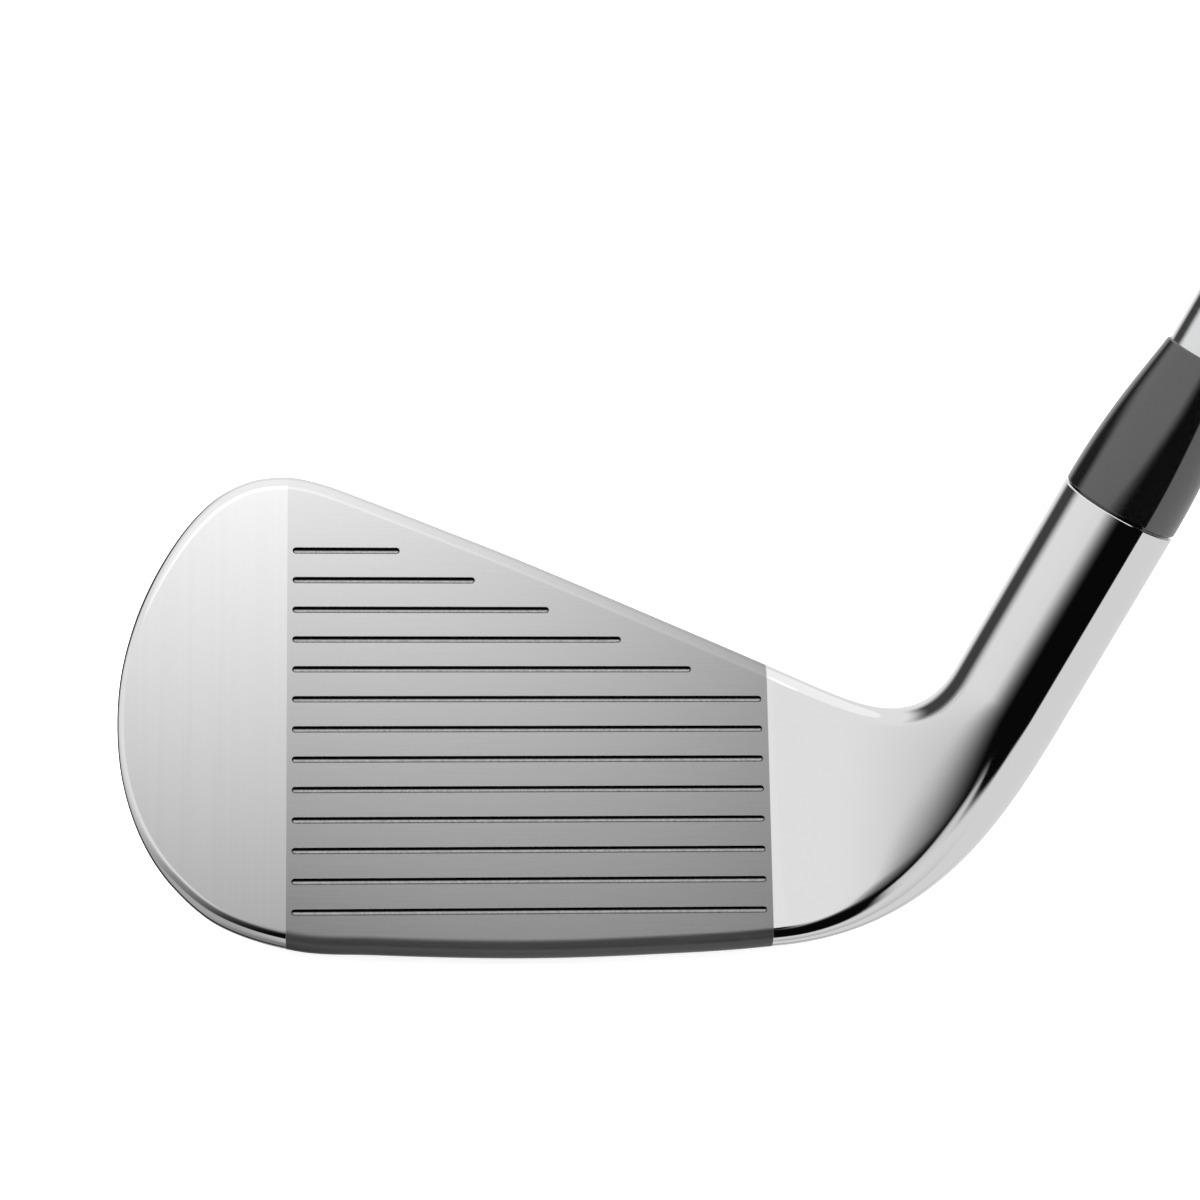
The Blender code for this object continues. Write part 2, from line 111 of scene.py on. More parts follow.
# Head, as in the CAD part
FACE_Y = -10.2
FACE_Z = 3.61
BLADE_END = 29.0
HOSEL_FOOT = (38.48, -7.0, 0.0)
HOSEL_R = 6.85
NECK_TOP = 36.5
RIM = 61.8
RIM_CHAMFER = 0.4
BORE_R = 5.0
BORE_FOOT = 30.0
OUTLINE = (
    (BLADE_END, 32.7), (24.0, 34.9), (20.0, 36.65), (0.0, 45.3), (-12.0, 50.15), (-19.5, 53.1),
    (-24.5, 54.9), (-28.5, 55.6), (-33.0, 54.95), (-37.2, 52.5), (-41.3, 47.6), (-45.0, 40.5),
    (-47.2, 33.0), (-47.8, 26.0), (-47.05, 18.8), (-44.75, 12.1), (-41.1, 6.7), (-35.6, 2.2),
    (-27.0, -0.6), (-18.0, -1.15), (-5.0, -1.6), (5.0, -1.6), (18.0, -1.15), (24.0, -0.82),
    (BLADE_END, -0.4),
)
OUTLINE_STEPS = 12
FRONT_RADIUS = (1.1, 1.9, 2.1)
BACK_RADIUS = (1.6, 1.2, 1.8)
WALL_LEAD = (3.6, 0.9, 8.3)
WALL_LAND = (1.0, 0.4, 3.4)
WALL_TRAIL = (3.4, 0.8, 5.2)
WALL_START = (2.0, 2.0, LOFT - 12.0)
WALL_MIDDLE = (2.0, 2.0, LOFT)
WALL_END = (6.0, 4.0, LOFT + 10.0)
BACK_SLOPE = (96.0, 91.0, LOFT + 88.0)
BACK_LAND = (6.0, 4.6, 11.5)
ARC_STEPS = 10
BACK_ARC_STEPS = 8
WALL_STEPS = 6
FACE_STEPS = 24
BACK_STEPS = 12
NECK_STEPS = 56
HOSEL_ANGLES = (-62.7, -98.0, -130.0, -150.0, -165.0, 172.0, 140.0, 118.0, 65.3, 3.7)
FACE_SPREAD = 0.86
NECK_PULL_TOP = (34.7, 28.1)
NECK_PULL_SOLE = (55.6, 42.9)
NECK_FRONT_ANGLE = -19.0
NECK_FRONT_REACH = 60.0
NECK_FRONT_EASE = 0.17
GROOVE_COUNT = 13
GROOVE_PITCH = 3.556
GROOVE_TOP = 46.3
GROOVE_TOE_END = -27.6
GROOVE_HEEL_END = 27.6
GROOVE_SHORT_SPACE = 5.04
# Small moves of the heel ends of the upper score lines, to where the photo has them
GROOVE_END_SHIFTS = (-0.2, 0.3, 0.66, 0.78, 0.67, 0.6)
# Half width and depth down a score line's wall
GROOVE_PROFILE = ((0.47, -0.05), (0.40, 0.0), (0.365, 0.04), (0.345, 0.09), (0.25, 0.40), (0.21, 0.43))
GROOVE_END_STEPS = 10
CAVITY = (
    (22.0, 30.0), (14.0, 33.8), (0.0, 39.9), (-14.0, 45.8), (-24.0, 49.6), (-31.5, 49.8), (-37.6, 45.0),
    (-41.2, 37.5), (-41.9, 30.0), (-39.0, 23.6), (-32.0, 20.4), (-15.0, 19.2), (5.0, 19.2), (18.0, 20.2),
    (24.0, 23.0), (25.0, 27.0),
)
CAVITY_STEPS = 10
CAVITY_FLOOR = 3.2
CAVITY_TOP = 22.0
CAVITY_FLARE = 2.6
CAVITY_LIP = ((-1.2, 0.0), (-0.6, 0.06), (-0.25, 0.22), (0.0, 0.5), (0.35, 1.2))
CAVITY_CORNER = ((0.0, 1.1), (0.15, 0.55), (0.5, 0.17), (1.0, 0.0))
PAD_THICK = 0.8
BADGE_INSET = 2.6
BADGE_THICK = 1.4
# Inset and drop of the points across the badge's rim, from its outside into the sunken field
BADGE_RIM = ((0.0, 0.3), (0.09, 0.09), (0.3, 0.0), (1.5, 0.0), (1.62, 0.05), (1.75, 0.3), (1.95, 0.38))
WEIGHT_PLACE = (-27.5, 7.0)
WEIGHT_R = 3.4
WEIGHT_START = 2.3
WEIGHT_END = 10.1
# Radius and drop of the points of the turned ring and the centre mark on the weight's end
WEIGHT_FACE = ((2.35, 0.0), (2.3, 0.1), (2.1, 0.1), (2.05, 0.0), (0.5, 0.0), (0.02, 0.25))
SATIN_TOE = -28.2
SATIN_HEEL = 28.25
SATIN_DEPTH = 3.4
SATIN_EDGE = 0.05

# Ferrule, shaft and grip, as in the CAD part
GAP = 0.3
FERRULE_LENGTH = 19.0
FERRULE_BEND = 13.0
FERRULE_CURVE = 0.00574
FERRULE_STEPS = 36
FERRULE_FOOT = 0.04
FERRULE_EDGE = 0.06
FERRULE_LIP_IN = 0.2
FERRULE_LIP_DOWN = 0.15
FERRULE_SEAT = (16.0, 16.5)
FERRULE_SEAT_GAP = 0.03
SHAFT_TIP_R = 4.7
SHAFT_BUTT_R = 7.62
SHAFT_WALL = 0.45
SHAFT_TIP = 31.5
SHAFT_BUTT = 936.0
FIRST_STEP = 260.0
STEP_SPACE = 38.0
STEP_COUNT = 12
STEP_RUN = 2.0
STEP_PARTS = (1.0, 0.8, 0.6, 0.4, 0.2, 0.0)
SHAFT_EDGE = 0.1
GRIP_OUTSIDE = ((266.0, 13.2), (239.0, 12.8), (160.0, 11.6), (80.0, 10.4), (6.0, 9.3), (0.0, 8.9))
GRIP_HOLE_R = 8.52
CAP_R = 13.6
CAP_THICK = 4.0
CAP_CORNER = 2.2
CAP_CORNER_STEPS = 8
CAP_EDGE = 0.2
# Radius and drop of the points on the cap's top, past its ring groove
CAP_TOP = ((8.2, 0.05), (8.5, 0.12), (8.65, 0.45), (9.1, 0.45), (9.25, 0.1), (9.6, 0.0))
VENT_R = 1.5
VENT_EDGE = ((0.0, 0.5), (0.15, 0.32), (0.5, 0.28))

# Grip pattern: crossed helical grooves between two plain ends, each end with a ring groove
DIAMONDS_ROUND = 18
DIAMOND_LENGTH = 7.2
DIAMOND_CELLS = 12
DIAMOND_GROOVE = 0.52
DIAMOND_HALF_WIDTH = 0.2
PATTERN_FOOT = 17.0
PATTERN_TOP = 250.0
PATTERN_FADE = 1.2
MOUTH_ROLL = 0.55
MOUTH_LENGTH = 1.6
BAND_DEPTH = 0.35
BANDS = ((5.0, 6.8, 0.5), (258.2, 260.4, 0.6))
FOOT_ROWS = (0.0, 0.1, 0.35, 0.7, 1.1, 1.6, 2.2, 4.8, 5.2, 5.5, 6.2, 6.5, 6.9, 8.0)
TOP_ROWS = (258.0, 258.4, 258.9, 259.7, 260.2, 260.6)
GRIP_SHARP_ANGLE = 60.0

# Finishes, with painted light and shade on the head's satin, toe flat and score lines: tones run from 0
# (black) to 1 (white). A noise's values lie mostly in its span.
NOISE_SPAN = (0.3, 0.7)
WIDE_NOISE_SPAN = (0.2, 0.8)
CHROME_TONE = 0.78
CHROME_ROUGHNESS = 0.05
BRUSHING = (40.0, 1500.0, 1500.0)
BRUSHING_SCALE = 4.0
SATIN_ROUGHNESS = (0.27, 0.33)
SATIN_BUMP = 0.03
# Satin tone with painted light and shade: painted lighter towards the topline and darker towards the heel;
# the grain is the brushing's own.
SATIN_TONE = 0.459
SATIN_PAINTED_LIGHT_GAIN = 0.164
SATIN_PAINTED_SIDE_SHADE = 0.063
SATIN_PAINTED_SIDE_BEND = 0.053
SATIN_PAINTED_SIDE_TWIST = 0.078
SATIN_GRAIN = 0.022
# Middle height and side reach over which the painted light and shade on the face change.
FACE_MIDDLE = 25.0
SIDE_REACH = 28.0
# Painted shade on the satin where it faces down: darker and less metallic.
UNDERSIDE_SPAN = (-0.6, -0.1)
UNDERSIDE_SHADE_SHARE = 0.25
# Painted light and shade on the polished toe's flat: its tone rises towards the topline.
TOE_TONE = 0.67
TOE_PAINTED_LIGHT_GAIN = 0.265
TOE_FLAT_SPAN = (0.96, 0.99)
TOE_STREAKS = (1500.0, 20.0, 20.0)
TOE_GRAIN = (0.007, 0.022)
# Score lines: a bright lip, then painted shade inside, near-black on the upper half and grey on the lower
# half.
GROOVE_LIP_SPAN = (0.03, 0.1)
GROOVE_LIP_TONE = 0.75
GROOVE_WALL_SPAN = (-0.02, 0.1)
GROOVE_WALL_SHADES = (0.45, 0.004)
GROOVE_GRIME = (0.8, 1.1)


def direction(angle):
    """Cosine and sine of an angle in degrees."""
    turn = math.radians(angle)
    return math.cos(turn), math.sin(turn)


FACE_UP = Vector((0.0, direction(LOFT)[1], direction(LOFT)[0]))
FACE_BACK = -FACE_NORMAL
HOSEL_TOE = Vector((-HOSEL_UP.z, 0.0, HOSEL_UP.x))
FRONT = Vector((0.0, -1.0, 0.0))


def on_face(across, up, depth):
    """Point at a place in the face plane and a depth behind it."""
    base = Vector((across, FACE_Y, FACE_Z))
    return base + FACE_UP * up + FACE_BACK * depth


def on_hosel(along, radius, angle):
    """Point at a distance up the hosel axis, a radius and an angle round it from the front to the heel."""
    cosine, sine = direction(angle)
    centre = Vector(HOSEL_FOOT) + HOSEL_UP * along
    return centre + (FRONT * cosine - HOSEL_TOE * sine) * radius


def smooth_step(value):
    """0 below 0, 1 above 1 and an S-curve between."""
    value = min(max(value, 0.0), 1.0)
    return value * value * (3.0 - 2.0 * value)


def spline(points, steps, closed=False):
    """Places and tangents on a Catmull-Rom curve through the points."""
    count = len(points)
    spans = count if closed else count - 1
    result = []
    for span in range(spans):
        last = span == spans - 1 and not closed
        for step in range(steps + (1 if last else 0)):
            corners = []
            for shift in (-1, 0, 1, 2):
                index = span + shift
                index = index % count if closed else min(max(index, 0), count - 1)
                corners.append(Vector(points[index]))
            result.append(spline_point(corners, step / steps))
    return result


def spline_point(corners, part):
    """Place and unit tangent a part of the way along the middle span of four corners."""
    before, start, end, after = corners
    leave = (end - before) * tangent_share(start - before, end - start)
    arrive = (after - start) * tangent_share(after - end, end - start)
    square, cube = part * part, part ** 3
    place = start * (2 * cube - 3 * square + 1) + leave * (cube - 2 * square + part)
    place += end * (3 * square - 2 * cube) + arrive * (cube - square)
    slope = (end - start) * (6 * part - 6 * square) + leave * (3 * square - 4 * part + 1)
    slope += arrive * (3 * square - 2 * part)
    return place, slope.normalized()


def tangent_share(outer, inner):
    """Share of the chord across two spans that keeps the curve even where their lengths differ."""
    return inner.length / (inner.length + outer.length)


def blend(values, sole, top):
    """Mix of the toe, topline and sole values of a size."""
    toe_value, top_value, sole_value = values
    return toe_value + (sole_value - toe_value) * sole + (top_value - toe_value) * top


def wall_section(outward):
    """Offsets (outwards, backwards) of the blade's wall where the outline faces a given way."""
    sole = smooth_step(-outward.y * 1.15 - 0.1)
    top = smooth_step(outward.y * 1.25 - 0.15)
    front = blend(FRONT_RADIUS, sole, top)
    angles = [blend(values, sole, top) for values in (WALL_START, WALL_MIDDLE, WALL_END, BACK_SLOPE)]
    lengths = [blend(values, sole, top) for values in (WALL_LEAD, WALL_LAND, WALL_TRAIL, BACK_LAND)]
    back = blend(BACK_RADIUS, sole, top)
    path = [Vector((-front, 0.0))]
    turn_path(path, -90.0, angles[0], front * math.radians(angles[0] + 90.0), ARC_STEPS)
    turn_path(path, angles[0], angles[1], lengths[0], WALL_STEPS)
    turn_path(path, angles[1], angles[1], lengths[1], 1)
    turn_path(path, angles[1], angles[2], lengths[2], WALL_STEPS)
    turn_path(path, angles[2], angles[3], back * math.radians(angles[3] - angles[2]), BACK_ARC_STEPS)
    turn_path(path, angles[3], angles[3], lengths[3], WALL_STEPS)
    return path


def turn_path(path, start, end, length, steps):
    """Add points to a path that turns evenly from one heading to another over a length."""
    for step in range(steps):
        heading = start + (end - start) * (step + 0.5) / steps
        cosine, sine = direction(heading)
        half_turn = math.radians(end - start) / steps / 2.0
        chord = length / steps * (math.sin(half_turn) / half_turn if abs(half_turn) > 1e-9 else 1.0)
        path.append(path[-1] + Vector((-sine, cosine)) * chord)


def blade_paths():
    """Wall section points at each place round the outline, as solid points."""
    paths = []
    for place, tangent in spline(OUTLINE, OUTLINE_STEPS):
        outward = Vector((tangent.y, -tangent.x))
        slide = tangent * tangent.y * math.tan(math.radians(LOFT))
        slide *= 1.0 - smooth_step(outward.y * 2.0 + 0.3)
        path = []
        for offset in wall_section(outward):
            flat = place + outward * offset.x + slide * offset.y
            path.append(on_face(flat.x, flat.y, offset.y))
        paths.append(path)
    return paths


def between(start, end, steps):
    """Points inside the straight line from start to end."""
    return [start.lerp(end, step / steps) for step in range(1, steps)]


def add_grid(mesh, rows):
    """Faces between neighbouring rows of vertices."""
    for first, second in zip(rows, rows[1:]):
        for index in range(len(first) - 1):
            mesh.faces.new((first[index], first[index + 1], second[index + 1], second[index]))


def add_vertices(mesh, points):
    """New vertices at points given in millimetres."""
    return [mesh.verts.new(point * MM) for point in points]


def loop_angles(counts):
    """Hosel angle of each vertex of the blade's end loop, spread between its corners."""
    angles = []
    corners = list(HOSEL_ANGLES) + [HOSEL_ANGLES[0]]
    spreads = [1.0] * (len(counts) - 1) + [FACE_SPREAD]
    for start, end, count, spread in zip(corners, corners[1:], counts, spreads):
        turn = (end - start) % 360.0 - 360.0
        for step in range(count):
            angles.append(start + turn * (step / count) ** spread)
    return angles


def front_share(angle):
    """1 on the front of the neck, falling smoothly to 0 on its sides."""
    away = abs((angle - NECK_FRONT_ANGLE + 180.0) % 360.0 - 180.0)
    return smooth_step(1.0 - away / NECK_FRONT_REACH)


def neck_point(start, heading, angle, part):
    """Point on the smooth run from the blade's end section up to the hosel."""
    toe_side = (1.0 + direction(angle + 90.0)[0]) / 2.0
    pulls = [low + (high - low) * toe_side for low, high in zip(NECK_PULL_SOLE, NECK_PULL_TOP)]
    pulls[0] *= 1.0 - NECK_FRONT_EASE * front_share(angle)
    end = on_hosel(NECK_TOP, HOSEL_R, angle)
    square, cube = part * part, part ** 3
    place = start * (2 * cube - 3 * square + 1) + heading * pulls[0] * (cube - 2 * square + part)
    return place + end * (3 * square - 2 * cube) + HOSEL_UP * pulls[1] * (cube - square)


def build_head():
    """Closed body of the head: blade walls, face, back, neck, hosel and its bore."""
    mesh = bmesh.new()
    paths = blade_paths()
    rows = [add_vertices(mesh, path) for path in paths]
    add_grid(mesh, rows)
    face_line = add_vertices(mesh, between(paths[-1][0], paths[0][0], FACE_STEPS))
    mesh.faces.new([row[0] for row in rows] + face_line)
    bridges = []
    for station in range(len(rows) // 2):
        inside = add_vertices(mesh, between(paths[station][-1], paths[-1 - station][-1], BACK_STEPS))
        bridges.append([rows[station][-1]] + inside + [rows[-1 - station][-1]])
    add_grid(mesh, bridges)
    mesh.faces.new(bridges[-1] + [rows[len(rows) // 2][-1]])
    loop = rows[0] + bridges[0][1:-1] + rows[-1][::-1] + face_line
    add_neck(mesh, loop)
    bmesh.ops.recalc_face_normals(mesh, faces=mesh.faces)
    return mesh


def add_neck(mesh, loop):
    """Loft from the blade's end loop into the hosel, over its rim and down its bore."""
    half = (ARC_STEPS, 2 * WALL_STEPS + 1, BACK_ARC_STEPS, WALL_STEPS)
    angles = loop_angles(half + (BACK_STEPS,) + half[::-1] + (FACE_STEPS,))
    starts = [vertex.co / MM for vertex in loop]
    top_heading = (Vector(OUTLINE[0]) - Vector(OUTLINE[1])).normalized()
    sole_heading = (Vector(OUTLINE[-1]) - Vector(OUTLINE[-2])).normalized()
    rings = [loop]
    for step in range(1, NECK_STEPS + 1):
        ring = []
        for start, angle in zip(starts, angles):
            share = (start.z - starts[-FACE_STEPS].z) / (starts[0].z - starts[-FACE_STEPS].z)
            flat = sole_heading.lerp(top_heading, min(max(share, 0.0), 1.0))
            heading = Vector((flat.x, 0.0, 0.0)) + FACE_UP * flat.y
            ring.append(neck_point(start, heading, angle, step / NECK_STEPS))
        rings.append(add_vertices(mesh, ring))
    rim = ((RIM - RIM_CHAMFER, HOSEL_R), (RIM, HOSEL_R - RIM_CHAMFER), (RIM, BORE_R + RIM_CHAMFER),
           (RIM - RIM_CHAMFER, BORE_R), (BORE_FOOT, BORE_R))
    for along, radius in rim:
        rings.append(add_vertices(mesh, [on_hosel(along, radius, angle) for angle in angles]))
    add_grid(mesh, [ring + ring[:1] for ring in rings])
    mesh.faces.new(rings[-1])


def looped(rings):
    """Ring-shaped body through like rings of points, the last joined to the first."""
    mesh = bmesh.new()
    rows = [add_vertices(mesh, ring) for ring in rings]
    add_grid(mesh, [row + row[:1] for row in rows + rows[:1]])
    bmesh.ops.recalc_face_normals(mesh, faces=mesh.faces)
    return mesh


def stacked(rings):
    """Closed body through a stack of like rings of points."""
    mesh = bmesh.new()
    rows = [add_vertices(mesh, ring) for ring in rings]
    add_grid(mesh, [row + row[:1] for row in rows])
    mesh.faces.new(rows[0])
    mesh.faces.new(rows[-1])
    bmesh.ops.recalc_face_normals(mesh, faces=mesh.faces)
    return mesh


def inset_outline(points, inset):
    """Closed spline through the points, moved inwards."""
    places = []
    for place, tangent in spline(points, CAVITY_STEPS, closed=True):
        places.append(place + Vector((-tangent.y, tangent.x)) * inset)
    return places


def groove_outline(toe_end, heel_end, height, half_width):
    """Long slot with round ends in the face plane."""
    places = []
    for centre, start in ((heel_end - 0.4, -90.0), (toe_end + 0.4, 90.0)):
        for step in range(GROOVE_END_STEPS + 1):
            cosine, sine = direction(start + 180.0 * step / GROOVE_END_STEPS)
            places.append(Vector((centre + cosine * half_width, height + sine * half_width)))
    return places


def groove_heel_end(index):
    """Heel end of a score line, which stops short of the topline on the upper ones."""
    if index >= len(GROOVE_END_SHIFTS):
        return GROOVE_HEEL_END
    height = GROOVE_TOP - GROOVE_PITCH * index
    top, bottom = Vector(OUTLINE[0]), Vector(OUTLINE[4])
    slope = (bottom.y - top.y) / (bottom.x - top.x)
    reach = top.x + (height + GROOVE_SHORT_SPACE - top.y) / slope
    return min(GROOVE_HEEL_END, reach + GROOVE_END_SHIFTS[index])


def groove_cutter():
    """All score lines as separate closed bodies in one mesh."""
    whole = bmesh.new()
    for index in range(GROOVE_COUNT):
        height = GROOVE_TOP - GROOVE_PITCH * index
        rings = []
        for half_width, depth in GROOVE_PROFILE:
            outline = groove_outline(GROOVE_TOE_END, groove_heel_end(index), height, half_width)
            rings.append([on_face(place.x, place.y, depth) for place in outline])
        slot = stacked(rings)
        data = bpy.data.meshes.new('slot')
        slot.to_mesh(data)
        slot.free()
        whole.from_mesh(data)
        bpy.data.meshes.remove(data)
    return whole


def cavity_cutter(head):
    """Body that cuts the back cavity, with a rounded lip that follows the back surface."""
    tree = BVHTree.FromBMesh(head)
    places = inset_outline(CAVITY, 0.0)
    inner = inset_outline(CAVITY, 1.0)
    outward = [(place - within).normalized() for place, within in zip(places, inner)]
    taper = CAVITY_FLARE / (CAVITY_TOP - CAVITY_FLOOR)
    rings = [[] for _ in range(len(CAVITY_CORNER) + len(CAVITY_LIP) + 1)]
    for place, out in zip(places, outward):
        start = on_face(place.x, place.y, CAVITY_TOP + 8.0)
        hit = tree.ray_cast(start * MM, FACE_NORMAL)[0]
        mouth = (hit / MM - on_face(place.x, place.y, 0.0)).dot(FACE_BACK)
        stack = [(CAVITY_FLOOR + rise, -inset) for rise, inset in CAVITY_CORNER]
        stack += [(mouth + rise, spread + (mouth - CAVITY_FLOOR) * taper) for rise, spread in CAVITY_LIP]
        stack.append((CAVITY_TOP + 4.0, stack[-1][1] + 1.0))
        for ring, (depth, spread) in zip(rings, stack):
            flat = place + out * spread
            ring.append(on_face(flat.x, flat.y, depth))
    return stacked(rings)


def new_object(name, mesh, material=None, sharp=SHARP_ANGLE):
    """Object from a bmesh, shaded smooth up to sharp edges."""
    data = bpy.data.meshes.new(name)
    mesh.to_mesh(data)
    mesh.free()
    data.shade_smooth()
    data.set_sharp_from_angle(angle=math.radians(sharp))
    if material:
        data.materials.append(material)
    item = bpy.data.objects.new(name, data)
    bpy.context.scene.collection.objects.link(item)
    return item


def apply_modifiers(item):
    """Replace an object's mesh by its evaluated mesh."""
    graph = bpy.context.evaluated_depsgraph_get()
    data = bpy.data.meshes.new_from_object(item.evaluated_get(graph))
    item.modifiers.clear()
    item.data = data


def cut(item, cutter_mesh, material):
    """Subtract a bmesh from an object, with a material of its own on the cut faces."""
    cutter = new_object('cutter', cutter_mesh, material)
    modifier = item.modifiers.new('Cut', 'BOOLEAN')
    modifier.operation = 'DIFFERENCE'
    modifier.solver = 'EXACT'
    modifier.material_mode = 'TRANSFER'
    modifier.object = cutter
    apply_modifiers(item)
    bpy.data.objects.remove(cutter, do_unlink=True)


def weight_normals(item):
    """Flat faces shaded flat and rounded edges shaded smooth."""
    item.data.set_sharp_from_angle(angle=math.radians(SHARP_ANGLE))
    modifier = item.modifiers.new('Normals', 'WEIGHTED_NORMAL')
    modifier.mode = 'FACE_AREA'
    modifier.keep_sharp = True
    apply_modifiers(item)


class Nodes:
    """Short way to write the node tree of a material or world, which ends in one shader."""

    def __init__(self, owner, end):
        self.owner = owner
        self.tree = owner.node_tree
        self.end = self.tree.nodes[end]

    def add(self, kind, inputs=None, **settings):
        """Node of a kind with settings, and inputs that are values or sockets."""
        node = self.tree.nodes.new(kind)
        for key, value in settings.items():
            setattr(node, key, value)
        for key, value in (inputs or {}).items():
            if isinstance(value, bpy.types.NodeSocket):
                self.tree.links.new(value, node.inputs[key])
            else:
                node.inputs[key].default_value = value
        return node

    def drive(self, name, value):
        """Link a value to an input of the shader at the end."""
        self.tree.links.new(value, self.end.inputs[name])

    def place(self):
        """Place on the object, in metres."""
        return self.add('ShaderNodeTexCoord').outputs['Object']

    def math(self, operation, first, second=0.0, third=0.0):
        """Result of a Math node."""
        return self.add('ShaderNodeMath', {0: first, 1: second, 2: third}, operation=operation).outputs[0]

    def product(self, first, *others):
        """Product of values."""
        for other in others:
            first = self.math('MULTIPLY', first, other)
        return first

    def dot(self, vector, axis):
        """Reach of a vector along an axis."""
        node = self.add('ShaderNodeVectorMath', {0: vector, 1: axis}, operation='DOT_PRODUCT')
        return node.outputs['Value']

    def stretch(self, vector, scale):
        """Vector multiplied by a scale on each axis."""
        return self.add('ShaderNodeMapping', {0: vector, 3: scale}).outputs[0]

    def noise(self, vector, scale, detail=2.0):
        """Noise in space."""
        inputs = {'Vector': vector, 'Scale': scale, 'Detail': detail}
        return self.add('ShaderNodeTexNoise', inputs).outputs[0]

    def line_noise(self, value, scale, detail):
        """Noise along one value."""
        inputs = {'W': value, 'Scale': scale, 'Detail': detail}
        return self.add('ShaderNodeTexNoise', inputs, noise_dimensions='1D').outputs[0]

    def bump(self, height, strength, distance):
        """Normal tilted by a height, for a distance in millimetres."""
        inputs = {'Strength': strength, 'Distance': distance * MM, 'Height': height}
        return self.add('ShaderNodeBump', inputs).outputs[0]

    def ramp(self, value, low, high, start=0.0, end=1.0):
        """Smooth rise from start to end as a value goes from low to high."""
        inputs = {'Value': value, 'From Min': low, 'From Max': high, 'To Min': start, 'To Max': end}
        node = self.add('ShaderNodeMapRange', inputs, interpolation_type='SMOOTHSTEP')
        return node.outputs[0]

    def number_mix(self, factor, first, second):
        """Mix of two numbers."""
        return self.add('ShaderNodeMix', {0: factor, 2: first, 3: second}, data_type='FLOAT').outputs[0]

    def curve(self, value, points):
        """Smooth curve through (value, result) points."""
        low, high = points[0][0], points[-1][0]
        least, most = min(point[1] for point in points), max(point[1] for point in points)
        part = self.add('ShaderNodeMapRange', {'Value': value, 'From Min': low, 'From Max': high}).outputs[0]
        node = self.add('ShaderNodeFloatCurve', {'Value': part})
        line = node.mapping.curves[0]
        for index, (place, result) in enumerate(points):
            spot = ((place - low) / (high - low), (result - least) / (most - least))
            if index in (0, len(points) - 1):
                line.points[min(index, 1)].location = spot
            else:
                line.points.new(*spot)
        node.mapping.update()
        return self.math('ADD', self.math('MULTIPLY', node.outputs[0], most - least), least)

    def mix(self, factor, first, second):
        """Mix of two colours."""
        inputs = {'Factor': factor, 6: (*first, 1.0), 7: (*second, 1.0)}
        return self.add('ShaderNodeMix', inputs, data_type='RGBA').outputs[2]

    def grey(self, tone):
        """Grey colour of a tone."""
        return self.add('ShaderNodeCombineColor', {0: tone, 1: tone, 2: tone}).outputs[0]


def new_material(name, colour, roughness, metallic, **values):
    """Writer for the nodes of a new principled material."""
    material = bpy.data.materials.new(name)
    material.use_nodes = True
    nodes = Nodes(material, 'Principled BSDF')
    nodes.end.inputs['Base Color'].default_value = (*colour, 1.0)
    nodes.end.inputs['Roughness'].default_value = roughness
    nodes.end.inputs['Metallic'].default_value = metallic
    for key, value in values.items():
        nodes.end.inputs[key.replace('_', ' ')].default_value = value
    return nodes


def finish_line(nodes, value, limit, start=0.0, end=1.0):
    """Narrow change from start to end as a value in metres passes a limit in millimetres."""
    return nodes.ramp(value, (limit - SATIN_EDGE) * MM, (limit + SATIN_EDGE) * MM, start, end)


def satin_painted_tone(nodes, height, side, upwards, brushing):
    """Tone of the satin with painted light and shade: painted darker towards the sole and the heel, and
    painted much darker where it faces down, over the brushing's own grain.
    """
    grain = nodes.ramp(brushing, *NOISE_SPAN, 0.0, SATIN_GRAIN)
    tone = nodes.math('ADD', nodes.math('MULTIPLY_ADD', height, SATIN_PAINTED_LIGHT_GAIN, SATIN_TONE), grain)
    loss = nodes.math('MULTIPLY_ADD', side, SATIN_PAINTED_SIDE_BEND, SATIN_PAINTED_SIDE_SHADE)
    loss = nodes.math('MULTIPLY_ADD', height, SATIN_PAINTED_SIDE_TWIST, loss)
    tone = nodes.math('SUBTRACT', tone, nodes.product(side, loss))
    return nodes.product(tone, nodes.ramp(upwards, *UNDERSIDE_SPAN, UNDERSIDE_SHADE_SHARE, 1.0))


def toe_painted_tone(nodes, place, height):
    """Tone of the polished toe's flat, with painted light and shade: painted darker towards the sole, with
    faint streaks up the face.
    """
    streaks = nodes.noise(nodes.stretch(place, TOE_STREAKS), 1.0, 3.0)
    tone = nodes.math('MULTIPLY_ADD', height, TOE_PAINTED_LIGHT_GAIN, TOE_TONE)
    return nodes.math('ADD', tone, nodes.ramp(streaks, *NOISE_SPAN, *TOE_GRAIN))


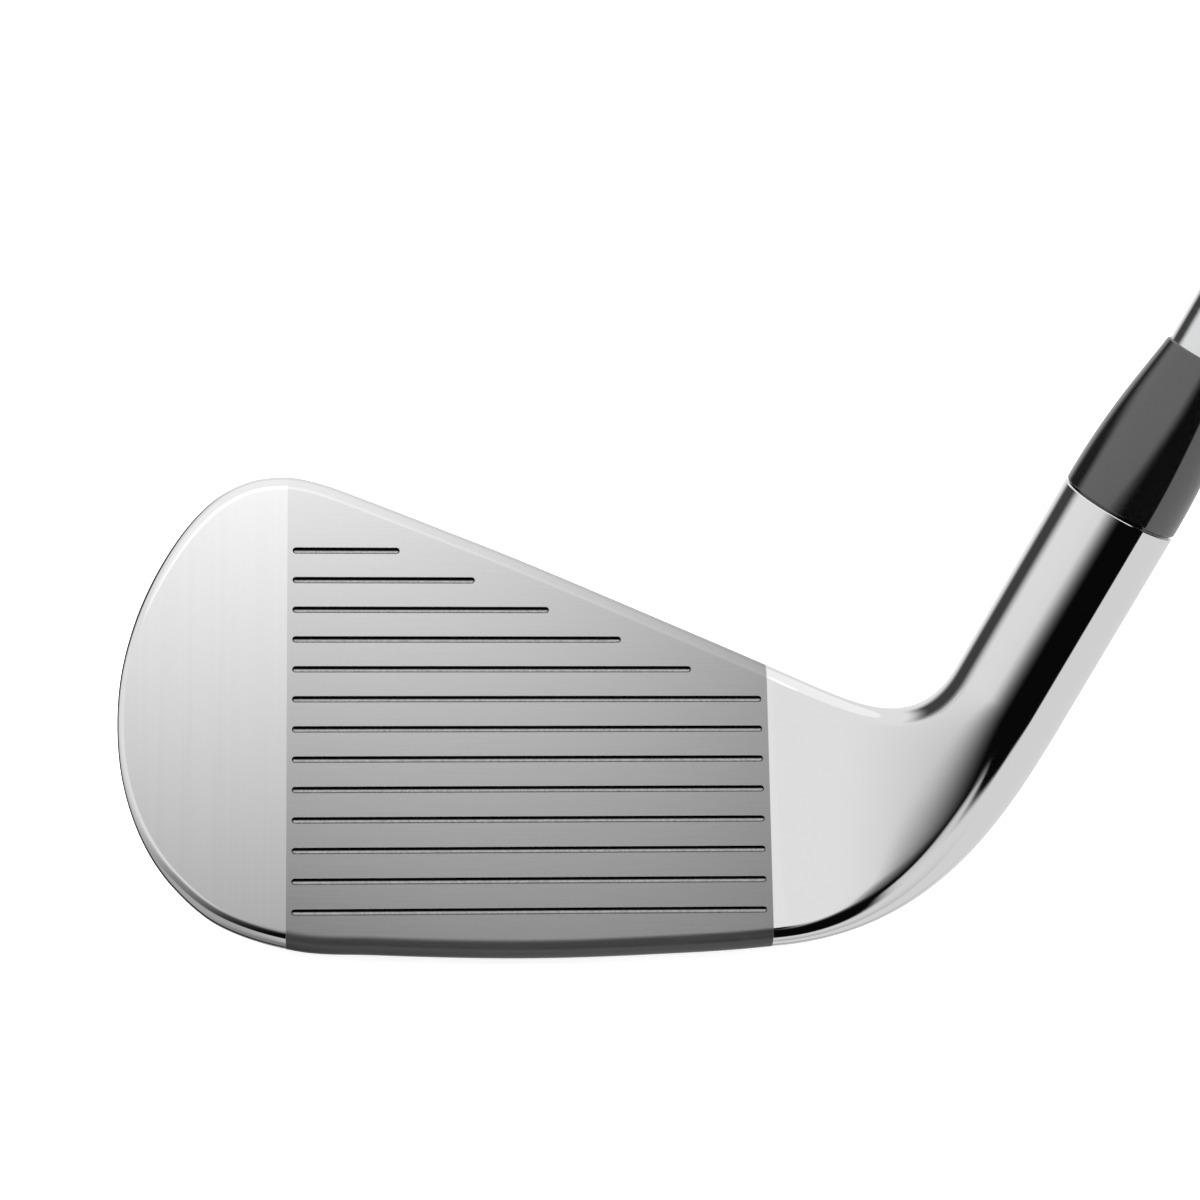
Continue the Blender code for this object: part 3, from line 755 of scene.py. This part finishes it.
def head_material():
    """Polished chrome at toe, heel and hosel, and horizontally brushed satin between the finish lines.

    Painted light and shade: the tone of the satin and of the toe's flat falls towards the sole, and the
    satin's towards the heel too; where the satin faces down it is painted darker and made less metallic.
    """
    nodes = new_material('head_chrome', (CHROME_TONE, CHROME_TONE, CHROME_TONE), CHROME_ROUGHNESS, 1.0)
    texture = nodes.add('ShaderNodeTexCoord')
    place = texture.outputs['Object']
    normal = texture.outputs['Normal']
    across = nodes.add('ShaderNodeSeparateXYZ', {0: place}).outputs[0]
    past_toe = finish_line(nodes, across, SATIN_TOE)
    before_heel = finish_line(nodes, across, SATIN_HEEL, 1.0, 0.0)
    back_limit = on_face(0.0, 0.0, SATIN_DEPTH).dot(FACE_BACK)
    front = finish_line(nodes, nodes.dot(place, FACE_BACK), back_limit, 1.0, 0.0)
    satin = nodes.product(past_toe, before_heel, front)
    brushing = nodes.noise(nodes.stretch(place, BRUSHING), BRUSHING_SCALE, 4.0)
    rough = nodes.ramp(brushing, *WIDE_NOISE_SPAN, *SATIN_ROUGHNESS)
    nodes.drive('Roughness', nodes.number_mix(satin, CHROME_ROUGHNESS, rough))
    nodes.drive('Normal', nodes.bump(brushing, nodes.product(satin, SATIN_BUMP), 0.1))
    side = nodes.math('DIVIDE', across, SIDE_REACH * MM)
    middle = on_face(0.0, FACE_MIDDLE, 0.0).dot(FACE_UP)
    height = nodes.math('SUBTRACT', nodes.dot(place, FACE_UP), middle * MM)
    height = nodes.math('DIVIDE', height, FACE_MIDDLE * MM)
    upwards = nodes.dot(normal, FACE_UP)
    # Mask of the toe's flat, which gets the painted light and shade.
    flat = nodes.ramp(nodes.dot(normal, FACE_NORMAL), *TOE_FLAT_SPAN)
    flat = nodes.product(flat, nodes.math('SUBTRACT', 1.0, past_toe))
    chrome = nodes.number_mix(flat, CHROME_TONE, toe_painted_tone(nodes, place, height))
    tone = nodes.number_mix(satin, chrome, satin_painted_tone(nodes, height, side, upwards, brushing))
    nodes.drive('Base Color', nodes.grey(tone))
    # Painted shade: where the satin faces down it is made less metallic as well as darker.
    underside_shade = nodes.product(satin, nodes.ramp(upwards, *UNDERSIDE_SPAN, UNDERSIDE_SHADE_SHARE, 0.0))
    nodes.drive('Metallic', nodes.math('SUBTRACT', 1.0, underside_shade))
    return nodes.owner


def blasted_material(name, tone, roughness, grain):
    """Dull blasted metal with a fine even grain."""
    nodes = new_material(name, (tone, tone, tone), roughness, 1.0)
    noise = nodes.noise(nodes.place(), 1.0 / (grain * MM), 3.0)
    nodes.drive('Base Color', nodes.grey(nodes.ramp(noise, *NOISE_SPAN, 0.85 * tone, 1.1 * tone)))
    nodes.drive('Roughness', nodes.ramp(noise, *WIDE_NOISE_SPAN, roughness - 0.06, roughness + 0.06))
    nodes.drive('Normal', nodes.bump(noise, 0.25, 0.05))
    return nodes.owner


def groove_shade_material():
    """Score line with painted shade: a bright lip, a painted near-black shadow on the upper half and a greyer
    painted shade on the lower half.
    """
    nodes = new_material('score_line_painted_shade', (0.02, 0.02, 0.02), 0.3, 1.0)
    place = nodes.place()
    face = on_face(0.0, 0.0, 0.0).dot(FACE_BACK)
    lip_start, lip_end = [(face + depth) * MM for depth in GROOVE_LIP_SPAN]
    deep = nodes.ramp(nodes.dot(place, FACE_BACK), lip_start, lip_end)
    first_line = on_face(0.0, GROOVE_TOP, 0.0).dot(FACE_UP)
    height = nodes.math('SUBTRACT', nodes.dot(place, FACE_UP), first_line * MM)
    half = 0.5 * GROOVE_PITCH * MM
    low, high = [rise * MM for rise in GROOVE_WALL_SPAN]
    # Painted shade: near-black on the upper half of each score line and grey on the lower half, with a random
    # grime.
    wall = nodes.ramp(nodes.math('WRAP', height, half, -half), low, high, *GROOVE_WALL_SHADES)
    wall = nodes.product(wall, nodes.ramp(nodes.noise(place, 3000.0), *NOISE_SPAN, *GROOVE_GRIME))
    nodes.drive('Base Color', nodes.grey(nodes.number_mix(deep, GROOVE_LIP_TONE, wall)))
    return nodes.owner


def make_head():
    """Visual head with its cavity, weight pocket and score lines."""
    mesh = build_head()
    cavity = cavity_cutter(mesh)
    blasted = blasted_material('cavity_blasted', 0.42, 0.42, 0.25)
    head = new_object('head', mesh, head_material())
    cut(head, cavity, blasted)
    pocket_r = WEIGHT_R + WEIGHT_FIT
    cut(head, weight_body(((pocket_r, WEIGHT_START - GAP), (pocket_r, CAVITY_TOP))), blasted)
    cut(head, groove_cutter(), groove_shade_material())
    weight_normals(head)
    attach(head, 'root')
    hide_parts('head_body')


def weight_body(profile):
    """Closed body round the weight's axis, which runs along Y, from (radius, place along Y) pairs."""
    rings = []
    for radius, depth in profile:
        ring = []
        for step in range(ROUND_STEPS):
            cosine, sine = direction(360.0 * step / ROUND_STEPS)
            ring.append(Vector((WEIGHT_PLACE[0] + radius * cosine, depth, WEIGHT_PLACE[1] + radius * sine)))
        rings.append(ring)
    return stacked(rings)


def hosel_ring(along, radius, steps):
    """Ring of points about the hosel axis."""
    return [on_hosel(along, radius, -360.0 * step / steps) for step in range(steps)]


def turned(name, profile, start, material):
    """Body turned about the hosel axis from a closed (radius, along) profile."""
    rings = [hosel_ring(start + along, radius, ROUND_STEPS) for radius, along in profile]
    return new_object(name, looped(rings), material)


def finish_piece(item, node):
    """Put a piece in the place of the CAD node of the one body."""
    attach(item, 'root')
    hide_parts(node)


def ferrule_radius(along):
    """Outside radius of the ferrule above the hosel rim: a curve, then a straight taper."""
    curve = FERRULE_CURVE * min(along, FERRULE_BEND) ** 2
    return HOSEL_R - curve - 2.0 * FERRULE_CURVE * FERRULE_BEND * max(along - FERRULE_BEND, 0.0)


def make_ferrule():
    """Glossy black ferrule with a slightly rounded foot and lip."""
    nodes = new_material('ferrule_black', (0.003, 0.003, 0.003), 0.07, 0.0, IOR=2.1)
    haze = nodes.noise(nodes.place(), 150.0, 1.0)
    nodes.drive('Roughness', nodes.ramp(haze, *NOISE_SPAN, 0.05, 0.08))
    profile = [(ferrule_radius(FERRULE_LENGTH) - FERRULE_LIP_IN, FERRULE_LENGTH)]
    for step in range(FERRULE_STEPS, 0, -1):
        rise = FERRULE_LENGTH * step / FERRULE_STEPS - FERRULE_LIP_DOWN
        profile.append((ferrule_radius(rise), rise))
    foot = FERRULE_FOOT - GAP
    profile += [(HOSEL_R, foot + FERRULE_EDGE), (HOSEL_R - FERRULE_EDGE, foot)]
    wide, narrow = SHAFT_TIP_R + GAP, SHAFT_TIP_R + FERRULE_SEAT_GAP
    profile += [(wide, foot), (wide, FERRULE_SEAT[0]), (narrow, FERRULE_SEAT[1]), (narrow, FERRULE_LENGTH)]
    ferrule = turned('ferrule_body', profile, RIM + GAP, nodes.owner)
    finish_piece(ferrule, 'ferrule')


def shaft_outline():
    """Outside points of the shaft, butt first, with eased step edges."""
    rise = (SHAFT_BUTT_R - SHAFT_TIP_R) / STEP_COUNT
    points = [(SHAFT_BUTT_R - SHAFT_EDGE, SHAFT_BUTT), (SHAFT_BUTT_R, SHAFT_BUTT - SHAFT_EDGE)]
    for index in reversed(range(STEP_COUNT)):
        foot = FIRST_STEP + STEP_SPACE * index
        for part in STEP_PARTS:
            radius = SHAFT_TIP_R + rise * (index + smooth_step(part))
            points.append((radius, foot + STEP_RUN * part))
    points += [(SHAFT_TIP_R, SHAFT_TIP + SHAFT_EDGE), (SHAFT_TIP_R - SHAFT_EDGE, SHAFT_TIP)]
    return points


def make_shaft():
    """Chromed stepped steel shaft with faint polishing rings."""
    nodes = new_material('shaft_steel', (0.76, 0.765, 0.77), 0.09, 1.0)
    rings = nodes.line_noise(nodes.dot(nodes.place(), HOSEL_UP), 2500.0, 3.0)
    nodes.drive('Roughness', nodes.ramp(rings, *NOISE_SPAN, 0.06, 0.14))
    nodes.drive('Normal', nodes.bump(rings, 0.05, 0.02))
    outside = shaft_outline()
    inside = [(radius - SHAFT_WALL, along) for radius, along in reversed(outside)]
    shaft = turned('shaft_tube', outside + inside, 0.0, nodes.owner)
    finish_piece(shaft, 'shaft')


def grip_radius(along):
    """Plain outside radius of the grip at a distance above its mouth."""
    points = [(place, radius) for place, radius in reversed(GRIP_OUTSIDE)]
    for (low, start), (high, end) in zip(points, points[1:]):
        if along <= high:
            return start + (end - start) * (along - low) / (high - low)
    return points[-1][1]


def grip_groove(along, column):
    """Depth of the moulded pattern, from two families of helical grooves."""
    cell = along / DIAMOND_LENGTH
    turn = column / DIAMOND_CELLS
    depth = 0.0
    for way in (cell + turn, cell - turn):
        off = abs(way - round(way))
        depth = max(depth, 1.0 - smooth_step(off / DIAMOND_HALF_WIDTH))
    foot_fade = smooth_step((along - PATTERN_FOOT) / PATTERN_FADE)
    return depth * foot_fade * smooth_step((PATTERN_TOP - along) / PATTERN_FADE)


def rubber_material():
    """Black moulded rubber with a fine dusty grain."""
    nodes = new_material('grip_rubber', (0.02, 0.02, 0.02), 0.5, 0.0)
    place = nodes.place()
    cloud = nodes.noise(place, 60.0, 3.0)
    dust = nodes.ramp(cloud, 0.35, 0.7)
    nodes.drive('Base Color', nodes.mix(dust, (0.01, 0.01, 0.01), (0.016, 0.016, 0.016)))
    grain = nodes.noise(place, 2600.0, 2.0)
    nodes.drive('Roughness', nodes.ramp(grain, *NOISE_SPAN, 0.42, 0.6))
    nodes.drive('Normal', nodes.bump(grain, 0.5, 0.06))
    return nodes.owner


def grip_rows():
    """Distances above the grip's mouth of the rings of its outside."""
    step = DIAMOND_LENGTH / DIAMOND_CELLS
    first = math.ceil(PATTERN_FOOT / step) - 2
    last = math.floor(PATTERN_TOP / step) + 2
    pattern = [step * index for index in range(first, last + 1)]
    length = GRIP_OUTSIDE[0][0]
    return list(FOOT_ROWS) + pattern + list(TOP_ROWS) + [length - 0.2, length]


def grip_plain_radius(along):
    """Outside radius of the grip without its pattern, with the rolled mouth and the ring grooves."""
    radius = grip_radius(along)
    radius -= MOUTH_ROLL * (1.0 - smooth_step(along / MOUTH_LENGTH))
    for start, end, ease in BANDS:
        radius -= BAND_DEPTH * smooth_step((along - start) / ease) * smooth_step((end - along) / ease)
    return radius


def make_grip(rubber):
    """Tapered rubber grip with a moulded diamond pattern, a rolled mouth and plain ends."""
    length = GRIP_OUTSIDE[0][0]
    foot = SHAFT_BUTT - length
    columns = DIAMONDS_ROUND * DIAMOND_CELLS
    rings = []
    for along in grip_rows():
        plain = grip_plain_radius(along)
        ring = []
        for column in range(columns):
            radius = plain - DIAMOND_GROOVE * grip_groove(along, column)
            ring.append(on_hosel(foot + along, radius, -360.0 * column / columns))
        rings.append(ring)
    for along in (length, 0.0):
        rings.append(hosel_ring(foot + along, GRIP_HOLE_R, columns))
    grip = new_object('grip_sleeve', looped(rings), rubber, GRIP_SHARP_ANGLE)
    finish_piece(grip, 'grip')


def make_cap(rubber):
    """Domed butt cap with a ring groove and a vent."""
    profile = [(VENT_R + out, CAP_THICK - drop) for out, drop in VENT_EDGE]
    profile += [(radius, CAP_THICK - drop) for radius, drop in CAP_TOP]
    centre, rise = CAP_R - CAP_CORNER, CAP_THICK - CAP_CORNER
    for step in range(1, CAP_CORNER_STEPS + 1):
        cosine, sine = direction(90.0 - 90.0 * step / CAP_CORNER_STEPS)
        profile.append((centre + CAP_CORNER * cosine, rise + CAP_CORNER * sine))
    profile += [(CAP_R, CAP_EDGE), (CAP_R - CAP_EDGE, 0.0), (VENT_R, 0.0)]
    cap = turned('cap_button', profile, SHAFT_BUTT + GAP, rubber)
    finish_piece(cap, 'butt_cap')


def brushed_material(name, dark, light, roughness):
    """Brushed metal, its lines drawn out along the face's width."""
    nodes = new_material(name, dark, roughness, 1.0)
    lines = nodes.noise(nodes.stretch(nodes.place(), BRUSHING), BRUSHING_SCALE, 5.0)
    nodes.drive('Base Color', nodes.mix(nodes.ramp(lines, *NOISE_SPAN), dark, light))
    nodes.drive('Roughness', nodes.ramp(lines, *WIDE_NOISE_SPAN, roughness - 0.05, roughness + 0.08))
    nodes.drive('Normal', nodes.bump(lines, 0.12, 0.05))
    return nodes.owner


def make_badge():
    """Badge plate with a bevelled bright rim round a sunken dark field."""
    start = CAVITY_FLOOR + 2.0 * GAP + PAD_THICK
    top = start + BADGE_THICK
    section = [(0.25, start), (0.0, start)] + [(inset, top - drop) for inset, drop in BADGE_RIM]
    rings = []
    for inset, depth in section:
        places = inset_outline(CAVITY, BADGE_INSET + inset)
        rings.append([on_face(place.x, place.y, depth) for place in places])
    badge = new_object('badge_plate', stacked(rings))
    rim = brushed_material('badge_rim', (0.5, 0.5, 0.51), (0.68, 0.68, 0.69), 0.2)
    field = brushed_material('badge_field', (0.035, 0.037, 0.04), (0.075, 0.078, 0.082), 0.3)
    badge.data.materials.append(rim)
    badge.data.materials.append(field)
    for polygon in badge.data.polygons:
        depth = (polygon.center / MM - on_face(0.0, 0.0, 0.0)).dot(FACE_BACK)
        if len(polygon.vertices) > 4 and depth > start + GAP:
            polygon.material_index = 1
    finish_piece(badge, 'cavity_badge')


def tungsten_material():
    """Tungsten with rings left by the lathe about the weight's axis."""
    nodes = new_material('weight_tungsten', (0.36, 0.35, 0.34), 0.28, 1.0)
    centre = Vector((WEIGHT_PLACE[0], 0.0, WEIGHT_PLACE[1])) * MM
    flat = nodes.add('ShaderNodeVectorMath', {0: nodes.place(), 1: centre}, operation='SUBTRACT').outputs[0]
    flat = nodes.add('ShaderNodeVectorMath', {0: flat, 1: (1.0, 0.0, 1.0)}, operation='MULTIPLY').outputs[0]
    out = nodes.add('ShaderNodeVectorMath', {0: flat}, operation='LENGTH').outputs['Value']
    rings = nodes.line_noise(out, 9000.0, 2.0)
    nodes.drive('Roughness', nodes.ramp(rings, *NOISE_SPAN, 0.2, 0.4))
    nodes.drive('Normal', nodes.bump(rings, 0.2, 0.03))
    return nodes.owner


def make_weight():
    """Pressed-in tungsten plug with a chamfer, a turned ring and a centre mark."""
    profile = [(0.3, WEIGHT_START), (WEIGHT_R - 0.2, WEIGHT_START), (WEIGHT_R, WEIGHT_START + 0.2)]
    profile += [(WEIGHT_R, WEIGHT_END - 0.3), (WEIGHT_R - 0.1, WEIGHT_END - 0.09)]
    profile.append((WEIGHT_R - 0.3, WEIGHT_END))
    profile += [(radius, WEIGHT_END - drop) for radius, drop in WEIGHT_FACE]
    plug = new_object('weight_plug', weight_body(profile), tungsten_material())
    finish_piece(plug, 'toe_weight')


def foam_material():
    """Black damping foam with fine cells."""
    nodes = new_material('pad_foam', (0.02, 0.02, 0.02), 0.9, 0.0)
    cells = nodes.add('ShaderNodeTexVoronoi', {'Vector': nodes.place(), 'Scale': 3000.0}).outputs[0]
    nodes.drive('Base Color', nodes.mix(cells, (0.012, 0.012, 0.012), (0.05, 0.05, 0.05)))
    return nodes.owner


def brass_material():
    """Plain brass with uneven shine."""
    nodes = new_material('plug_brass', (0.62, 0.46, 0.2), 0.3, 1.0)
    marks = nodes.noise(nodes.place(), 900.0)
    nodes.drive('Roughness', nodes.ramp(marks, *NOISE_SPAN, 0.22, 0.42))
    return nodes.owner


def tape_material():
    """Pale fibrous tape."""
    nodes = new_material('grip_tape', (0.72, 0.68, 0.55), 0.85, 0.0)
    fibre = nodes.noise(nodes.place(), 1200.0, 4.0)
    fibre = nodes.ramp(fibre, *NOISE_SPAN)
    nodes.drive('Base Color', nodes.mix(fibre, (0.66, 0.62, 0.5), (0.8, 0.77, 0.66)))
    return nodes.owner


def dress_hidden_nodes():
    """Materials for the CAD nodes that stay: the foam pad, the tip plug and the grip tape."""
    materials = {'badge_pad': foam_material(), 'tip_plug': brass_material(), 'grip_tape': tape_material()}
    for node, material in materials.items():
        item = frame['nodes'][node]
        item.data.materials.clear()
        item.data.materials.append(material)


def make_floor():
    """Pale floor under the club, which gives off a little light so that almost no shadow is left."""
    mesh = bmesh.new()
    bmesh.ops.create_grid(mesh, x_segments=1, y_segments=1, size=4.0)
    glow = {'Emission_Color': (1.0, 1.0, 1.0, 1.0), 'Emission_Strength': 0.6}
    material = new_material('floor_white', (0.95, 0.95, 0.95), 0.9, 0.0, **glow).owner
    floor = new_object('floor', mesh, material)
    floor.visible_glossy = False


def left_zone(nodes, rise, bearing):
    """Bright left side, which ends at the dark zone's edge and gets dimmer downwards."""
    past_edge = nodes.math('SUBTRACT', bearing, nodes.curve(rise, DARK_LEFT_EDGE))
    past_edge = nodes.math('DIVIDE', past_edge, nodes.curve(rise, DARK_LEFT_BLUR))
    level = nodes.ramp(past_edge, -1.0, 1.0, LEFT_LEVEL, 0.0)
    return nodes.product(level, nodes.ramp(rise, *LEFT_LOW_SPAN, LEFT_LOW_SHARE, 1.0))


def overhead_zone(nodes, rise, bearing):
    """Ceiling with a brighter lamp in it."""
    lamp = nodes.product(
        nodes.ramp(rise, *LAMP_FOOT_SPAN),
        nodes.ramp(bearing, *LAMP_RIGHT_SPAN, LAMP_LEVEL, 0.0),
        nodes.ramp(bearing, *LAMP_LEFT_SPAN),
        nodes.ramp(rise, *LAMP_TOP_SPAN, 1.0, 0.0),
    )
    return nodes.math('ADD', nodes.ramp(rise, *CEILING_SPAN, 0.0, CEILING_LEVEL), lamp)


def fill_zone(nodes, rise, bearing):
    """Bright patch to the right of the front, from under the ceiling upwards."""
    return nodes.product(
        nodes.ramp(rise, *FILL_FOOT_SPAN),
        nodes.ramp(bearing, *FILL_LEFT_SPAN, 0.0, FILL_LEVEL),
        nodes.ramp(bearing, *FILL_RIGHT_SPAN, 1.0, 0.0),
    )


def table_zone(nodes, rise, bearing):
    """Bright table below an edge, dimmer straight down and to the left."""
    above_edge = nodes.math('SUBTRACT', rise, nodes.curve(bearing, TABLE_EDGE))
    return nodes.product(
        nodes.ramp(above_edge, -TABLE_BLUR, TABLE_BLUR, TABLE_LEVEL, 0.0),
        nodes.ramp(rise, *TABLE_NEAR_SPAN, TABLE_DIM_SHARE, 1.0),
        nodes.ramp(bearing, *TABLE_LEFT_SPAN, TABLE_DIM_SHARE, 1.0),
    )


def right_zone(nodes, rise, bearing):
    """Low light on the right, which fades upwards and round towards the back."""
    return nodes.product(
        nodes.ramp(bearing, *RIGHT_EDGE_SPAN, 0.0, RIGHT_LEVEL),
        nodes.ramp(rise, *RIGHT_TOP_SPAN, 1.0, 0.0),
        nodes.ramp(bearing, *RIGHT_END_SPAN, 1.0, RIGHT_END_SHARE),
    )


def back_zone(nodes, rise, bearing):
    """Light behind the club, on both sides."""
    side = nodes.ramp(nodes.math('ABSOLUTE', bearing), *BACKLIGHT_SIDE_SPAN)
    return nodes.product(side, nodes.ramp(rise, *BACKLIGHT_FOOT_SPAN, 0.0, BACKLIGHT_LEVEL))


def screen_share(nodes, rise, bearing):
    """Share of the light that a dark screen behind the club takes away."""
    return nodes.product(
        nodes.ramp(bearing, *SCREEN_START_SPAN),
        nodes.ramp(bearing, *SCREEN_END_SPAN, 1.0, 0.0),
        nodes.ramp(rise, *SCREEN_TOP_SPAN, SCREEN_SHARE, 0.0),
    )


def make_world():
    """Studio surroundings: white to the eye, and light and dark zones by direction in reflections."""
    world = bpy.data.worlds.new('studio')
    bpy.context.scene.world = world
    world.use_nodes = True
    nodes = Nodes(world, 'Background')
    way = nodes.add('ShaderNodeTexCoord').outputs['Generated']
    split = nodes.add('ShaderNodeSeparateXYZ', {0: way})
    rise = nodes.math('DEGREES', nodes.math('ARCSINE', split.outputs[2]))
    bearing = nodes.math('ARCTAN2', split.outputs[0], nodes.math('MULTIPLY', split.outputs[1], -1.0))
    bearing = nodes.math('DEGREES', bearing)
    level = left_zone(nodes, rise, bearing)
    for zone in (overhead_zone, fill_zone, table_zone, right_zone, back_zone):
        level = nodes.math('MAXIMUM', level, zone(nodes, rise, bearing))
    level = nodes.product(level, nodes.math('SUBTRACT', 1.0, screen_share(nodes, rise, bearing)))
    level = nodes.math('MAXIMUM', level, DARKEST)
    paths = nodes.add('ShaderNodeLightPath')
    level = nodes.number_mix(paths.outputs['Is Diffuse Ray'], level, ROOM_LIGHT)
    level = nodes.number_mix(paths.outputs['Is Camera Ray'], level, 1.0)
    nodes.drive('Color', level)


def make_camera():
    """Camera where the photographer's stood."""
    data = bpy.data.cameras.new('camera')
    data.lens = CAMERA_LENS
    data.clip_start = 0.01
    data.clip_end = 20.0
    camera = bpy.data.objects.new('camera', data)
    bpy.context.scene.collection.objects.link(camera)
    turn = Matrix.Rotation(math.radians(-CAMERA_AZIMUTH), 4, 'Z')
    turn = turn @ Matrix.Rotation(math.radians(90.0 - CAMERA_DOWN), 4, 'X')
    turn = turn @ Matrix.Rotation(math.radians(CAMERA_ROLL), 4, 'Z')
    camera.matrix_world = Matrix.Translation(Vector(CAMERA_PLACE) * MM) @ turn
    bpy.context.scene.camera = camera


def main():
    """Build the whole scene."""
    bpy.context.scene.view_settings.view_transform = 'Standard'
    make_camera()
    make_head()
    rubber = rubber_material()
    make_badge()
    make_weight()
    make_ferrule()
    make_shaft()
    make_grip(rubber)
    make_cap(rubber)
    dress_hidden_nodes()
    make_floor()
    make_world()


main()
